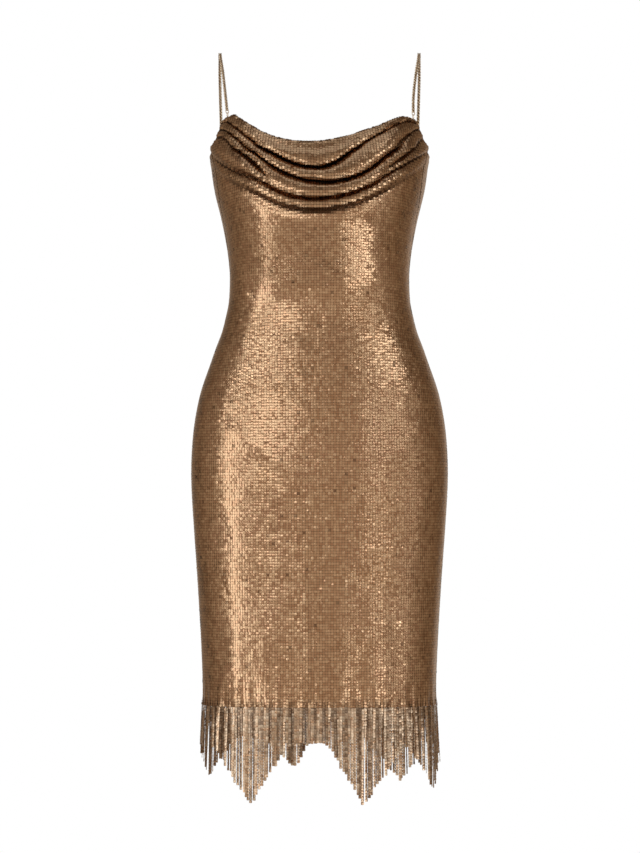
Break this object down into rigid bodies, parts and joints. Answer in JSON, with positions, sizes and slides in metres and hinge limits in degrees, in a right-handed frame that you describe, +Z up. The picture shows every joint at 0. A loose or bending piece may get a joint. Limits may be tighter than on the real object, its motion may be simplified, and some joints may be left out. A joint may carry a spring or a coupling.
{
  "type": "chainmail dress",
  "caption": "Knee-length slip dress of bronze-gold metal mesh with a draped cowl neck, chain straps and a zigzag chain-fringe hem, in its worn, hollow form.",
  "frame": {"origin": "midway between the two strap tops, level with their undersides, where the shoulders carry the dress", "axes": "+Z up along the hang of the dress, -Y out of its front, +X to the right in a view of the front"},
  "size_m": [0.3334, 0.2609, 0.9709],
  "materials": {
    "mesh": "bronze-gold anodised mesh of small flat plates, satin with bright glints",
    "chain": "pale gold polished link chain",
    "fringe": "bronze-gold chain strands, satin with bright glints"
  },
  "bodies": {
    "root": {"front_panel": "mesh", "back_panel": "mesh", "strap_left": "chain", "strap_right": "chain", "fringe_front": "fringe", "fringe_back": "fringe"}
  },
  "joints": []
}
